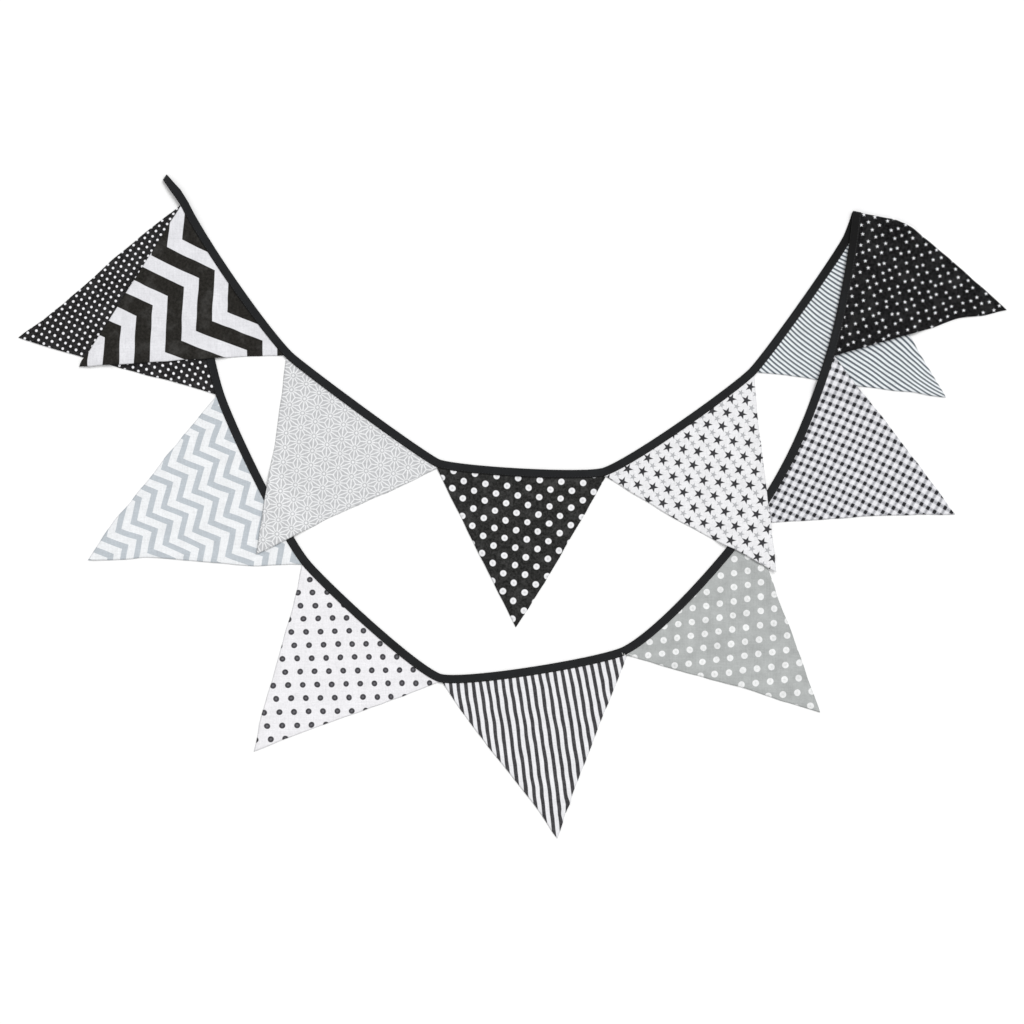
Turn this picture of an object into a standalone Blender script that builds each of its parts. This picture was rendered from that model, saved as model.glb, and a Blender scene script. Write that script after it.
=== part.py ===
"""Bunting: twelve pointed cotton flags on a folded binding tape, laid flat in two swags.

The string starts at the upper left and runs through the upper swag to the upper right.
There it turns over along one fold, across the corner of the sixth flag, and comes back
through the lower swag to where it began. X is to the right, Y is up the page, Z is up.
"""
import math
from collections import namedtuple

import bmesh
import bpy
from mathutils import Vector
from mathutils.geometry import intersect_point_line

# Thicknesses, widths and gaps, metres
CLOTH = 0.0010
TAPE_THICK = 0.0018
TAPE_WIDE = 0.0085
GAP = 0.0003
STEP = TAPE_THICK + GAP

# Each flag's own low ridges: height, spacing, and the turn of their direction per flag
WAVE = 0.0005
WAVE_LENGTH = 0.085
WAVE_ANGLE = 0.7
WAVE_TURN = 2.1

# How an upper layer comes down to the floor beside what it lies on
LEVEL_REACH = 0.013
RAMP = 0.026

# Mesh steps, and the halvings that find a place along an edge
COLUMNS = 10
ROWS = 12
FLAP_ROWS = 4
FOLD_STEPS = 6
TAPE_STEPS = 16
HALVINGS = 40

# Share by which each flag is drawn in to its middle, to stand 0.3 mm clear all round
SHRINK = 0.006

# The fold at the upper right, in plan
FOLD_AT = Vector((0.3502, 0.2912))
FOLD_ANGLE = math.radians(-11.0)
FOLD_WAY = Vector((math.cos(FOLD_ANGLE), math.sin(FOLD_ANGLE)))
FOLD_OUT = Vector((-FOLD_WAY.y, FOLD_WAY.x))
FOLD_RADIUS = STEP / 2
FOLDED = 5

# Each flag in order along the string. corner is where its seam starts, sag is how far the
# seam bows towards the tip, bow_near and bow_far bow its two cut sides outwards, and over
# lists the flags that it and its tape lie on. The sixth flag is given before it is folded.
Flag = namedtuple("Flag", "name corner sag tip bow_near bow_far over colour")
FLAGS = (
    Flag("flag_01_broad_chevron", (-0.3315, 0.3005), 0.0050, (-0.4331, 0.1395),
         0.0, 0.0, (12,), (0.30, 0.30, 0.30)),
    Flag("flag_02_hemp_leaf", (-0.2266, 0.1484), 0.0025, (-0.2561, -0.0475),
         0.0, 0.0, (11,), (0.66, 0.66, 0.67)),
    Flag("flag_03_white_dots", (-0.0755, 0.0390), 0.0050, (0.0029, -0.1201),
         0.0, 0.0015, (), (0.06, 0.06, 0.06)),
    Flag("flag_04_two_tone_stars", (0.0918, 0.0303), 0.0051, (0.2632, -0.0659),
         0.0, 0.0, (7, 8), (0.62, 0.62, 0.64)),
    Flag("flag_05_pinstripe", (0.2423, 0.1312), 0.0028, (0.4341, 0.1092),
         -0.0028, 0.0, (), (0.50, 0.52, 0.55)),
    Flag("flag_06_scattered_stars", (0.3496, 0.3212), 0.0050, (0.4942, 0.1961),
         0.0, -0.0015, (5,), (0.04, 0.04, 0.04)),
    Flag("flag_07_gingham", (0.3215, 0.1505), 0.0080, (0.4418, -0.0087),
         0.0, 0.0, (5,), (0.35, 0.35, 0.36)),
    Flag("flag_08_white_dots_on_grey", (0.2426, -0.0176), 0.0077, (0.3080, -0.2055),
         0.0, 0.0, (), (0.50, 0.52, 0.51)),
    Flag("flag_09_stripe", (0.1140, -0.1480), 0.0069, (0.0438, -0.3327),
         0.0, 0.0, (), (0.35, 0.35, 0.36)),
    Flag("flag_10_black_dots", (-0.0738, -0.1756), 0.0058, (-0.2573, -0.2450),
         0.0, 0.0, (), (0.70, 0.69, 0.71)),
    Flag("flag_11_grey_chevron", (-0.2108, -0.0579), 0.0047, (-0.4229, -0.0559),
         0.0, 0.0035, (), (0.66, 0.69, 0.72)),
    Flag("flag_12_pin_dots", (-0.2965, 0.1105), 0.0040, (-0.4942, 0.1700),
         0.0010, -0.0020, (), (0.05, 0.05, 0.06)),
)
LAST_CORNER = (-0.3315, 0.3005)
TAPE_COLOUR = (0.016, 0.018, 0.019)

# The tape's two ends, from the cut towards the flags: the edge on the seam's side, then
# the other edge. The second end is tucked under the first.
TailRow = namedtuple("TailRow", "seam_edge outer_edge")
FREE_END = (
    TailRow((-0.3495, 0.3263), (-0.3457, 0.3320)),
    TailRow((-0.3429, 0.3168), (-0.3388, 0.3244)),
    TailRow((-0.3360, 0.3070), (-0.3318, 0.3168)),
)
TUCKED_END = (
    TailRow((-0.3426, 0.3184), (-0.3372, 0.3222)),
    TailRow((-0.3390, 0.3129), (-0.3332, 0.3170)),
    TailRow((-0.3353, 0.3073), (-0.3291, 0.3117)),
)

Seam = namedtuple("Seam", "start leaving arriving end side")


def beyond_fold(point):
    """How far a point in plan lies past the fold line; below nought is short of it."""
    return (point - FOLD_AT).dot(FOLD_OUT)


def mirrored(way, about):
    """A direction in plan, mirrored about another of unit length."""
    return 2 * way.dot(about) * about - way


def carried_round(point):
    """A point of the front layer's plane, where it comes to lie, and its rise there."""
    past = beyond_fold(point)
    if past <= 0:
        return point, STEP
    foot = point - FOLD_OUT * past
    turn = past / FOLD_RADIUS
    if turn < math.pi:
        rise = FOLD_RADIUS * (1 + math.cos(turn))
        return foot + FOLD_OUT * FOLD_RADIUS * math.sin(turn), rise
    return foot - FOLD_OUT * (past - math.pi * FOLD_RADIUS), 0.0


def seam_curves():
    """Each flag's seam as a cubic curve that runs smoothly on into its neighbours'."""
    starts = [Vector(flag.corner) for flag in FLAGS]
    ends = starts[1:] + [Vector(LAST_CORNER)]
    ends[FOLDED - 1] = carried_round(starts[FOLDED])[0]
    chords = [(end - start).normalized() for start, end in zip(starts, ends)]
    seams = []
    for index, flag in enumerate(FLAGS):
        chord = chords[index]
        before = chords[index - 1] if index else mirrored(chords[1], chord)
        after = chords[index + 1] if index < len(FLAGS) - 1 else mirrored(before, chord)
        if index == FOLDED:
            before = mirrored(before, FOLD_WAY)
        if index == FOLDED - 1:
            after = mirrored(after, FOLD_WAY)
        leaving = (before + chord).normalized()
        arriving = (chord + after).normalized()
        side = Vector((-chord.y, chord.x))
        if side.dot(Vector(flag.tip) - starts[index]) < 0:
            side = -side
        handle = flag.sag * 8 / 3 / (leaving - arriving).dot(side)
        seams.append(Seam(starts[index], starts[index] + leaving * handle,
                          ends[index] - arriving * handle, ends[index], side))
    return seams


def seam_point(seam, part):
    """The point at a share of the way along a seam."""
    rest = 1 - part
    return (rest ** 3 * seam.start + 3 * rest ** 2 * part * seam.leaving
            + 3 * rest * part ** 2 * seam.arriving + part ** 3 * seam.end)


def outer_point(seam, part):
    """The tape's outer edge beside the same point of the seam."""
    rest = 1 - part
    way = (rest ** 2 * (seam.leaving - seam.start) + 2 * rest * part * (seam.arriving - seam.leaving)
           + part ** 2 * (seam.end - seam.arriving)).normalized()
    away = Vector((-way.y, way.x))
    if away.dot(seam.side) > 0:
        away = -away
    return seam_point(seam, part) + away * TAPE_WIDE


def near_side_point(flag, part):
    """The point at a share of the way down the cut side from a flag's first corner."""
    start = Vector(flag.corner)
    tip = Vector(flag.tip)
    way = (tip - start).normalized()
    out = Vector((-way.y, way.x)) * flag.bow_near * 4 * part * (1 - part)
    return start.lerp(tip, part) + out


def share_at(edge, past):
    """The share along an edge where it lies a given distance past the fold line."""
    low, high = 0.0, 1.0
    for _ in range(HALVINGS):
        middle = (low + high) / 2
        if beyond_fold(edge(middle)) > past:
            low = middle
        else:
            high = middle
    return low


def clearance(point, outline):
    """The distance in plan from a point to an outline, nought inside it."""
    inside = False
    nearest = math.inf
    for first, second in zip(outline, outline[1:] + outline[:1]):
        share = intersect_point_line(point, first, second)[1]
        foot = first.lerp(second, min(max(share, 0), 1))
        nearest = min(nearest, (point - foot).length)
        if (first.y > point.y) != (second.y > point.y):
            across = first.x + (point.y - first.y) * (second.x - first.x) / (second.y - first.y)
            inside = inside != (point.x < across)
    return 0.0 if inside else nearest


def lift(point, beneath):
    """How far the layer above is raised at a point, for the outlines beneath it."""
    if not beneath:
        return 0.0
    nearest = min(clearance(point, outline) for outline in beneath)
    share = min(max((nearest - LEVEL_REACH) / RAMP, 0), 1)
    return STEP * (1 - share * share * (3 - 2 * share))


def ripple(point, index):
    """A flag's own unevenness: low ridges with flat cloth between them."""
    angle = WAVE_ANGLE + WAVE_TURN * index
    along = point.x * math.cos(angle) + point.y * math.sin(angle)
    calm = min(max(-beyond_fold(point) / RAMP, 0), 1)
    return WAVE * calm * max(math.sin(2 * math.pi * along / WAVE_LENGTH + index), 0)


def row_outlines(seams):
    """For each flag the outlines in plan of the cloth and tape that others may lie on."""
    steps = [step / TAPE_STEPS for step in range(TAPE_STEPS + 1)]
    outlines = []
    for flag, seam in zip(FLAGS, seams):
        inner = [seam_point(seam, part) for part in steps]
        outer = [outer_point(seam, part) for part in reversed(steps)]
        outlines.append([inner + [Vector(flag.tip)], inner + outer])
    flag, seam = FLAGS[FOLDED], seams[FOLDED]
    seam_share = share_at(lambda part: seam_point(seam, part), 0.0)
    side_share = share_at(lambda part: near_side_point(flag, part), 0.0)
    turned_under = [outer_point(seam, 0.0), outer_point(seam, seam_share),
                    near_side_point(flag, side_share), seam.start]
    outlines[FOLDED - 1].append([carried_round(corner)[0] for corner in turned_under])
    tucked = [Vector(row.seam_edge) for row in TUCKED_END]
    tucked += [Vector(row.outer_edge) for row in reversed(TUCKED_END)]
    outlines[-1].append(tucked)
    return outlines


def flag_rows(index, seam):
    """Rows across a flag, from its far side to its first corner: seam point, side point."""
    flag = FLAGS[index]
    seam_last = side_last = 0.0
    if index == FOLDED:
        seam_last = share_at(lambda part: seam_point(seam, part), 0.0)
        side_last = share_at(lambda part: near_side_point(flag, part), 0.0)
    rows = []
    for step in range(ROWS + 1):
        share = 1 - step / ROWS
        rows.append((seam_point(seam, seam_last + share * (1 - seam_last)),
                     near_side_point(flag, side_last + share * (1 - side_last))))
    if index == FOLDED:
        depth = beyond_fold(seam.start)
        arc = math.pi * FOLD_RADIUS
        pasts = [arc * step / FOLD_STEPS for step in range(1, FOLD_STEPS + 1)]
        pasts += [arc + (depth - arc) * step / FLAP_ROWS for step in range(1, FLAP_ROWS)]
        for past in pasts:
            rows.append((seam_point(seam, share_at(lambda part: seam_point(seam, part), past)),
                         near_side_point(flag, share_at(lambda part: near_side_point(flag, part), past))))
        rows.append((seam.start, seam.start))
    return rows


def grid_mesh(name, columns, rows):
    """A flat grid of columns by rows cells, ready to be shaped by place()."""
    sheet = bmesh.new()
    bmesh.ops.create_grid(sheet, x_segments=columns, y_segments=rows, size=1.0)
    mesh = bpy.data.meshes.new(name)
    sheet.to_mesh(mesh)
    sheet.free()
    return mesh


def place(mesh, columns, rows, spot):
    """Move each point of a grid mesh to spot(column, row), then join points that coincide."""
    sheet = bmesh.new()
    sheet.from_mesh(mesh)
    for vertex in sheet.verts:
        column = round((vertex.co.x + 1) / 2 * columns)
        row = round((vertex.co.y + 1) / 2 * rows)
        vertex.co = spot(column, row)
    bmesh.ops.remove_doubles(sheet, verts=sheet.verts, dist=0.00001)
    bmesh.ops.recalc_face_normals(sheet, faces=sheet.faces)
    sheet.to_mesh(mesh)
    sheet.free()


def cotton(name, colour):
    """Matt cotton of one overall colour."""
    material = bpy.data.materials.new(name)
    material.use_nodes = True
    shader = material.node_tree.nodes["Principled BSDF"]
    shader.inputs["Base Color"].default_value = (*colour, 1.0)
    shader.inputs["Roughness"].default_value = 0.85
    shader.inputs["Metallic"].default_value = 0.0
    material.diffuse_color = (*colour, 1.0)
    return material


def sheet_object(name, mesh, thickness, colour, collection):
    """A sheet given its thickness evenly to both sides."""
    piece = bpy.data.objects.new(name, mesh)
    collection.objects.link(piece)
    mesh.materials.append(cotton(name + "_cotton", colour))
    solid = piece.modifiers.new("Thickness", "SOLIDIFY")
    solid.thickness = thickness
    solid.offset = 0.0
    solid.use_even_offset = True
    return piece


def make_flag(index, seam, beneath, collection):
    """One flag, drawn in a little all round so that it stands clear of its neighbours."""
    flag = FLAGS[index]
    rows = flag_rows(index, seam)
    centre = (seam.start + seam.end + Vector(flag.tip)) / 3
    far_way = (Vector(flag.tip) - seam.end).normalized()
    far_out = Vector((-far_way.y, far_way.x))
    if far_out.dot(seam.end - centre) < 0:
        far_out = -far_out

    def spot(column, row):
        across = column / COLUMNS
        seam_spot, side_spot = rows[row]
        flat = seam_spot.lerp(side_spot, across)
        far_share = max(1 - row / ROWS, 0)
        flat = flat + far_out * flag.bow_far * 4 * across * (1 - across) * far_share
        flat = flat.lerp(centre, SHRINK)
        middle = CLOTH / 2
        if index == FOLDED and beyond_fold(flat) > 0:
            laid, rise = carried_round(flat)
            return Vector((laid.x, laid.y, middle + rise))
        height = lift(flat, beneath) + ripple(flat, index)
        return Vector((flat.x, flat.y, middle + height))

    mesh = grid_mesh(flag.name, COLUMNS, len(rows) - 1)
    place(mesh, COLUMNS, len(rows) - 1, spot)
    return sheet_object(flag.name, mesh, CLOTH, flag.colour, collection)


def raised_pair(first, second, beneath):
    """One cross-line of the tape, seam edge and outer edge, raised over what lies beneath."""
    middle = TAPE_THICK / 2
    return [Vector((spot.x, spot.y, middle + lift(spot, beneath))) for spot in (first, second)]


def fold_sections(seam, beneath):
    """The tape beside the folded flag: the lower layer, round the fold, then the upper."""
    depth = beyond_fold(seam.start)
    arc = math.pi * FOLD_RADIUS
    pasts = [depth * (FLAP_ROWS - step) / FLAP_ROWS for step in range(1, FLAP_ROWS)]
    pasts += [arc * step / FOLD_STEPS for step in range(FOLD_STEPS, -1, -1)]
    sections = []
    for past in pasts:
        pair = []
        for edge in (seam_point, outer_point):
            share = share_at(lambda part: edge(seam, part), past)
            laid, rise = carried_round(edge(seam, share))
            pair.append(Vector((laid.x, laid.y, TAPE_THICK / 2 + rise)))
        sections.append(pair)
    fold_share = share_at(lambda part: seam_point(seam, part), 0.0)
    for step in range(1, TAPE_STEPS):
        part = fold_share + (1 - fold_share) * step / TAPE_STEPS
        sections.append(raised_pair(seam_point(seam, part), outer_point(seam, part), beneath))
    return sections


def tape_sections(seams, beneath):
    """The tape's cross-lines from its free end to its tucked end, as pairs of points."""
    sections = [raised_pair(Vector(row.seam_edge), Vector(row.outer_edge), beneath[0])
                for row in FREE_END]
    for index, seam in enumerate(seams):
        if index == FOLDED:
            sections += fold_sections(seam, beneath[index])
            continue
        first_step = 0 if index in (0, FOLDED + 1) else 1
        for step in range(first_step, TAPE_STEPS + 1):
            part = step / TAPE_STEPS
            sections.append(raised_pair(seam_point(seam, part), outer_point(seam, part), beneath[index]))
    sections += [raised_pair(Vector(row.seam_edge), Vector(row.outer_edge), ())
                 for row in reversed(TUCKED_END)]
    return sections


def make_tape(seams, beneath, collection):
    """The whole binding tape as one folded strip."""
    sections = tape_sections(seams, beneath)
    mesh = grid_mesh("binding_tape", 1, len(sections) - 1)
    place(mesh, 1, len(sections) - 1, lambda column, row: sections[row][column])
    return sheet_object("binding_tape", mesh, TAPE_THICK, TAPE_COLOUR, collection)


def main():
    for old in list(bpy.data.objects):
        bpy.data.objects.remove(old)
    collection = bpy.data.collections.new("bunting")
    bpy.context.scene.collection.children.link(collection)
    seams = seam_curves()
    outlines = row_outlines(seams)
    beneath = [[outline for number in flag.over for outline in outlines[number - 1]] for flag in FLAGS]
    for index in range(len(FLAGS)):
        make_flag(index, seams[index], beneath[index], collection)
    make_tape(seams, beneath, collection)


main()
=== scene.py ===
"""Bunting of twelve printed cotton flags on black folded binding tape, laid flat in two swags.

The outline, the place of the fold and the layering repeat the solids' own values; the fold itself
stands a little higher here. Lengths are metres, and the prints' own measures are millimetres.
"""
import math
from collections import namedtuple
import bmesh
import bpy
from mathutils import Matrix, Vector, noise
from mathutils.geometry import intersect_point_line


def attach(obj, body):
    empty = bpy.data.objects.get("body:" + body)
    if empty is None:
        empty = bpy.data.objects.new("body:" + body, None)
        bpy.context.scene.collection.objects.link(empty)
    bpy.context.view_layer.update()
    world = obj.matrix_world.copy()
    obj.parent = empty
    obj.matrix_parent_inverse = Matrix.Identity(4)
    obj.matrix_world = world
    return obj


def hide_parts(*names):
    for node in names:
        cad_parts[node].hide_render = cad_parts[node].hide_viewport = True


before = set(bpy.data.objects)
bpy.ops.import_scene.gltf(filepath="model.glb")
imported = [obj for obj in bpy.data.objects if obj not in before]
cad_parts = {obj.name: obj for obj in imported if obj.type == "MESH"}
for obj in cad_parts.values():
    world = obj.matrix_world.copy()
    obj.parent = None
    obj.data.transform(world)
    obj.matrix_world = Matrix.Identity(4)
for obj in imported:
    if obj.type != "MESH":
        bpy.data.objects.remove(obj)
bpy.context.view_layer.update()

# Thicknesses and widths, metres
CLOTH = 0.0010
CLOTH_INSIDE = 0.0007
SEAM_ALLOWANCE = 0.0065
EDGE_ROUND = 0.0006
TAPE_THICK = 0.0018
TAPE_LEAF = 0.0004
TAPE_WIDE = 0.0085

# How high an upper layer lies, and how high where the fold springs open
STEP = 0.0021
FOLD_STEP = 0.0030

# How an upper layer comes down beside what it lies on
LEVEL_REACH = 0.0035
RAMP = 0.015

# The cloth's own unevenness: height and spread, how far apart two flags draw theirs from the noise, and
# by how much the waves are raised before they are cut off at the floor
WAVE = 0.00035
WAVE_SIZE = 0.055
WAVE_APART = 3.7
WAVE_RAISED = 0.25
PUCKER = 0.00012
PUCKER_SIZE = 0.009
PUCKER_APART = 5.1

# How far the raw edge goes into the tape, and over what distances things come in
TUCKED_IN = 0.0045
TUCK_FADE = 0.012
ALLOWANCE_FADE = 0.002
WAVE_FADE = 0.03
FOLD_FADE = 0.02
PUCKER_FADE = 0.01
WANDER_FADE = 0.015

# Mesh steps
FLAG_CUTS = 71
TAPE_STEPS = 44
OUTLINE_STEPS = 24
FOLD_STEPS = 12
FLAP_ROWS = 6
PROFILE_STEPS = 4
BEND_STEPS = 8
HALVINGS = 40
ROW_CROWD = 0.12
ROW_REACH = 0.10
CUT_SLACK = 0.00005
SAME_PLACE = 0.000008

FOLD_AT = Vector((0.3502, 0.2912))
FOLD_ANGLE = math.radians(-11.0)
FOLD_WAY = Vector((math.cos(FOLD_ANGLE), math.sin(FOLD_ANGLE)))
FOLD_OUT = Vector((-FOLD_WAY.y, FOLD_WAY.x))
FOLD_RADIUS = FOLD_STEP / 2
FOLDED = 5

# Stitches along the tape
STITCH = 0.0024
STITCH_PITCH = 0.0029
STITCH_THICK = 0.00032
STITCH_IN = 0.0013
STITCH_PROUD = 0.00002
STITCH_ROOT = 0.0005
STITCH_LEAST = 0.0002

# Pale threads frayed out of the seam where two flags meet: place, turn in degrees, length
FRAY_THICK = 0.0005
FRAYED = (
    (0.1100, -0.1472, 118, 0.0026),
    (0.1118, -0.1483, 74, 0.0030),
    (0.1137, -0.1491, -58, 0.0024),
    (0.1152, -0.1476, 38, 0.0034),
    (0.1176, -0.1480, -12, 0.0044),
    (0.1192, -0.1486, 9, 0.0038),
)

Flag = namedtuple("Flag", "name corner sag tip bow_near bow_far over")
FLAGS = (
    Flag("flag_01_broad_chevron", (-0.3315, 0.3005), 0.0050, (-0.4331, 0.1395), 0.0, 0.0, (12,)),
    Flag("flag_02_hemp_leaf", (-0.2266, 0.1484), 0.0025, (-0.2561, -0.0475), 0.0, 0.0, (11,)),
    Flag("flag_03_white_dots", (-0.0755, 0.0390), 0.0050, (0.0029, -0.1201), 0.0, 0.0015, ()),
    Flag("flag_04_two_tone_stars", (0.0918, 0.0303), 0.0051, (0.2632, -0.0659), 0.0, 0.0, (7, 8)),
    Flag("flag_05_pinstripe", (0.2423, 0.1312), 0.0028, (0.4341, 0.1092), -0.0028, 0.0, ()),
    Flag("flag_06_scattered_stars", (0.3496, 0.3212), 0.0050, (0.4942, 0.1961), 0.0, -0.0015, (5,)),
    Flag("flag_07_gingham", (0.3215, 0.1505), 0.0080, (0.4418, -0.0087), 0.0, 0.0, (5,)),
    Flag("flag_08_white_dots_on_grey", (0.2426, -0.0176), 0.0077, (0.3080, -0.2055), 0.0, 0.0, ()),
    Flag("flag_09_stripe", (0.1140, -0.1480), 0.0069, (0.0438, -0.3327), 0.0, 0.0, ()),
    Flag("flag_10_black_dots", (-0.0738, -0.1756), 0.0058, (-0.2573, -0.2450), 0.0, 0.0, ()),
    Flag("flag_11_grey_chevron", (-0.2108, -0.0579), 0.0047, (-0.4229, -0.0559), 0.0, 0.0035, ()),
    Flag("flag_12_pin_dots", (-0.2965, 0.1105), 0.0040, (-0.4942, 0.1700), 0.0010, -0.0020, ()),
)
LAST_CORNER = (-0.3315, 0.3005)

# The tape's two tails, each row its seam edge and its outer edge
FREE_END = (
    ((-0.3495, 0.3263), (-0.3457, 0.3320)),
    ((-0.3429, 0.3168), (-0.3388, 0.3244)),
    ((-0.3360, 0.3070), (-0.3318, 0.3168)),
)
TUCKED_END = (
    ((-0.3426, 0.3184), (-0.3372, 0.3222)),
    ((-0.3390, 0.3129), (-0.3332, 0.3170)),
    ((-0.3353, 0.3073), (-0.3291, 0.3117)),
)

# Creases that show on the cloth: flag, one end, other end, height, half width
CREASES = (
    (9, (0.041, -0.308), (0.057, -0.296), 0.0009, 0.0022),
    (9, (0.036, -0.300), (0.050, -0.290), 0.0004, 0.0030),
    (11, (-0.420, -0.056), (-0.385, -0.030), 0.0006, 0.0050),
    (8, (0.195, -0.105), (0.265, -0.150), 0.0004, 0.0060),
    (8, (0.215, -0.060), (0.285, -0.115), 0.0004, 0.0060),
)

# How far each flag's two cut sides lie outside their lines, millimetres, at every fifth of the way
# from the seam to the tip: near side, then far side
SIDES = (
    ((0, 0, 0, 0, 0, 0), (-2.8, -3.2, -2.8, -1.8, -1.0, 0)),
    ((-0.3, -1.2, -2.1, -0.7, -0.3, 0), (0.8, 1.5, -0.2, -0.8, 0, 0)),
    ((0.3, 0.6, 0.6, 0.8, 0.7, 0.4), (1.5, 1.3, 1.0, 1.4, 1.7, 1.0)),
    ((-0.6, 1.5, 2.7, 2.1, 0.3, 0), (-0.5, -1.4, -0.6, -0.4, 0.5, 0.8)),
    ((-3.5, -5.6, -5.0, -3.8, -3.0, 0), (0, 0, 0, 0, -0.5, -0.5)),
    ((0, 0.2, 1.1, 1.9, 1.3, 0.4), (0, 0, 0, 0, 0, 0)),
    ((0, 0, 2.0, 1.7, 1.6, 0.8), (-0.8, -0.9, -1.6, -2.7, -1.8, -0.4)),
    ((-0.5, -2.0, -2.4, -0.7, -0.4, 0), (0.5, 0.9, 0, -1.3, 0.2, 0.7)),
    ((1.0, 0.7, -0.9, -0.7, -1.3, 0.3), (-2.8, -0.9, -0.6, -2.2, -2.8, -1.0)),
    ((0, 0.7, 0.1, -0.3, -0.4, 0.3), (-0.4, -1.6, -0.2, 0.9, 2.7, 1.4)),
    ((0, 1.5, -0.9, 0.9, -1.0, -0.9), (-0.3, -0.6, -0.4, 0, 2.9, 2.0)),
    ((-1.6, -2.2, -0.9, 0, 0.9, 0.9), (1.2, 3.0, 3.1, 0.8, -0.9, 0)),
)

# Where an edge or corner lies off its straight line: flag, place, how far it is moved, and the reach
NUDGES = (
    (6, (0.3925, 0.2852), (-0.0013, -0.0015), 0.0065),
    (6, (0.4445, 0.1870), (-0.0006, 0.0032), 0.0180),
    (11, (-0.3525, -0.0560), (0.0, 0.0046), 0.0330),
    (11, (-0.2700, -0.0580), (0.0, -0.0013), 0.0300),
    (9, (0.0560, -0.2960), (0.0012, 0.0004), 0.0045),
    (9, (0.0500, -0.3080), (-0.0009, 0.0), 0.0040),
    (1, (-0.4290, 0.1450), (-0.0010, 0.0010), 0.0060),
)
# How much every cut side wanders
EDGE_WANDER = 0.0006
EDGE_WANDER_SIZE = 0.016
WANDER_DRAWS = (0.7, 9.3)

Seam = namedtuple("Seam", "start leaving arriving end side")


# The string in plan, as in the solids

def beyond_fold(point):
    """How far a point in plan lies past the fold line; below nought is short of it."""
    return (point - FOLD_AT).dot(FOLD_OUT)


def mirrored(way, about):
    """A direction in plan, mirrored about another of unit length."""
    return 2 * way.dot(about) * about - way


def turned_under(point, middle, height=0.0):
    """A point of the front layer past the fold, carried round it: its place and the way up."""
    past = max(beyond_fold(point), 0.0)
    foot = point - FOLD_OUT * past
    turn = min(past / FOLD_RADIUS, math.pi)
    spare = max(past - math.pi * FOLD_RADIUS, 0.0)
    reach = (FOLD_RADIUS + height) * math.sin(turn) - spare
    plan = foot + FOLD_OUT * reach
    return Vector((plan.x, plan.y, middle + FOLD_RADIUS + (FOLD_RADIUS + height) * math.cos(turn)))


def in_plan(point):
    """A point in plan, carried round the fold where it lies past it."""
    return turned_under(point, 0.0).to_2d() if beyond_fold(point) > 0 else point


def seam_curves():
    """Each flag's seam as a cubic curve that runs smoothly on into its neighbours'."""
    starts = [Vector(flag.corner) for flag in FLAGS]
    ends = starts[1:] + [Vector(LAST_CORNER)]
    ends[FOLDED - 1] = in_plan(starts[FOLDED])
    chords = [(end - start).normalized() for start, end in zip(starts, ends)]
    seams = []
    for index, flag in enumerate(FLAGS):
        chord = chords[index]
        before = chords[index - 1] if index else mirrored(chords[1], chord)
        after = chords[index + 1] if index < len(FLAGS) - 1 else mirrored(before, chord)
        if index == FOLDED:
            before = mirrored(before, FOLD_WAY)
        if index == FOLDED - 1:
            after = mirrored(after, FOLD_WAY)
        leaving = (before + chord).normalized()
        arriving = (chord + after).normalized()
        side = Vector((-chord.y, chord.x))
        if side.dot(Vector(flag.tip) - starts[index]) < 0:
            side = -side
        handle = flag.sag * 8 / 3 / (leaving - arriving).dot(side)
        seams.append(Seam(starts[index], starts[index] + leaving * handle,
                          ends[index] - arriving * handle, ends[index], side))
    return seams


def seam_point(seam, part):
    """The point at a share of the way along a seam."""
    rest = 1 - part
    return (rest ** 3 * seam.start + 3 * rest ** 2 * part * seam.leaving
            + 3 * rest * part ** 2 * seam.arriving + part ** 3 * seam.end)


def outer_point(seam, part):
    """The tape's outer edge beside the same point of the seam."""
    rest = 1 - part
    way = (rest ** 2 * (seam.leaving - seam.start) + 2 * rest * part * (seam.arriving - seam.leaving)
           + part ** 2 * (seam.end - seam.arriving)).normalized()
    away = Vector((-way.y, way.x))
    if away.dot(seam.side) > 0:
        away = -away
    return seam_point(seam, part) + away * TAPE_WIDE


def share_at(edge, past):
    """The share along an edge where it lies a given distance past the fold line."""
    low, high = 0.0, 1.0
    for _ in range(HALVINGS):
        middle = (low + high) / 2
        if beyond_fold(edge(middle)) > past:
            low = middle
        else:
            high = middle
    return low


def away_from(spot, line):
    """The distance in plan from a point to a line of many points."""
    nearest = math.inf
    for first, second in zip(line, line[1:]):
        share = intersect_point_line(spot, first, second)[1]
        nearest = min(nearest, (spot - first.lerp(second, min(max(share, 0), 1))).length)
    return nearest


def clearance(point, outline):
    """The distance in plan from a point to an outline, nought inside it."""
    closed = outline + outline[:1]
    inside = False
    for first, second in zip(closed, closed[1:]):
        if (first.y > point.y) != (second.y > point.y):
            across = first.x + (point.y - first.y) * (second.x - first.x) / (second.y - first.y)
            inside = inside != (point.x < across)
    return 0.0 if inside else away_from(point, closed)


def eased(share):
    """A share from 0 to 1 that starts and ends gently."""
    share = min(max(share, 0.0), 1.0)
    return share * share * (3 - 2 * share)


def lift(point, beneath, step=STEP):
    """How far the layer above is raised at a point, for the outlines beneath it."""
    if not beneath:
        return 0.0
    nearest = min(clearance(point, outline) for outline in beneath)
    return step * (1 - eased((nearest - LEVEL_REACH) / RAMP))


def layer_step(index):
    """How high a flag lies over what is beneath it: more where the fold springs open."""
    return FOLD_STEP if index in (FOLDED, FOLDED + 1) else STEP


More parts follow.
